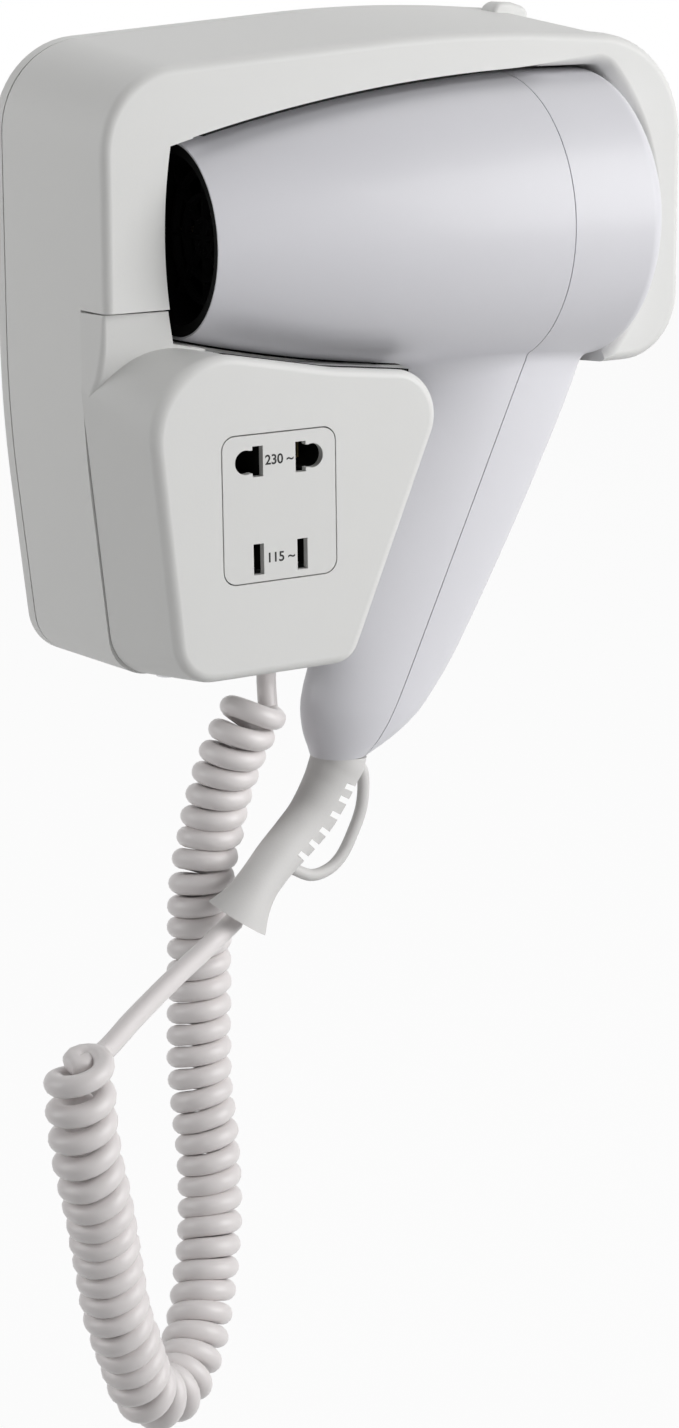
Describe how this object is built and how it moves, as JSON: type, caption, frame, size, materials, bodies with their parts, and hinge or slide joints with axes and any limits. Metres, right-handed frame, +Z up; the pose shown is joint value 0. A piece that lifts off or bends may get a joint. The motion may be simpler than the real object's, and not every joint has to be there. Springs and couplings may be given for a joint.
{
  "type": "wall-mounted hair dryer",
  "caption": "Wall holder with a two-standard shaver socket, a gun-shaped hair dryer docked in its recess, and a curly cord.",
  "frame": {"origin": "on the wall face of the wall plate, at the middle of the holder's width and below the middle of its wing", "axes": "+Y into the wall, +Z up, +X to the right as the user faces the wall; the front is -Y"},
  "size_m": [0.2188, 0.1037, 0.363],
  "materials": {
    "base_plastic": "satin, warm light grey-white",
    "white_plastic": "satin",
    "dryer_shell": "semi-gloss, pearly silver-white",
    "grey_button": "satin",
    "black_plastic": "matt",
    "mica": "matt sheet",
    "heater_wire": "dull wire",
    "steel": "plain",
    "brass": "plain",
    "copper": "enamelled wire",
    "soft_relief": "soft matt",
    "cord_sheath": "satin"
  },
  "bodies": {
    "holder": {"wall_plate": "base_plastic", "upper_housing": "base_plastic", "lower_cover": "base_plastic", "socket_plate": "base_plastic", "socket_block": "black_plastic", "round_pin_contacts": "brass", "flat_pin_contacts": "brass", "transformer_core": "steel", "transformer_winding": "copper", "terminal_block": "white_plastic", "rest_switch": "black_plastic", "cord_gland": "white_plastic", "base_cord_clamp": "white_plastic", "housing_screws": "steel", "cover_screws": "steel", "cord_lead_base": "cord_sheath", "cord_coil": "cord_sheath"},
    "handset": {"main_shell": "dryer_shell", "rear_shell": "dryer_shell", "inlet_screen": "black_plastic", "nozzle_liner": "black_plastic", "outlet_grille": "black_plastic", "heater_frame": "mica", "heater_coil": "heater_wire", "thermostat": "steel", "motor": "steel", "motor_mount": "black_plastic", "switch_body": "black_plastic", "strain_relief": "soft_relief", "handle_cord_clamp": "white_plastic", "shell_screws": "steel", "cord_lead_handset": "cord_sheath"},
    "fan_rotor": {"fan": "white_plastic", "motor_shaft": "steel"},
    "switch": {"switch_slider": "grey_button"},
    "plunger": {"rest_plunger": "white_plastic"}
  },
  "joints": [
    {"name": "handset_pull", "type": "slide", "parent": "holder", "child": "handset", "axis": [0, -0.9988, 0.0499], "range_m": [0, 0.1]},
    {"name": "fan_spin", "type": "hinge", "parent": "handset", "child": "fan_rotor", "pos_m": [0.038, -0.043, 0.0275], "axis": [1, 0, 0], "continuous": true},
    {"name": "switch_slide", "type": "slide", "parent": "handset", "child": "switch", "axis": [0.454, 0, 0.891], "range_m": [0, 0.01]},
    {"name": "plunger_press", "type": "slide", "parent": "holder", "child": "plunger", "axis": [0, 1, 0], "range_m": [0, 0.0025], "stiffness_N_per_m": 300}
  ]
}
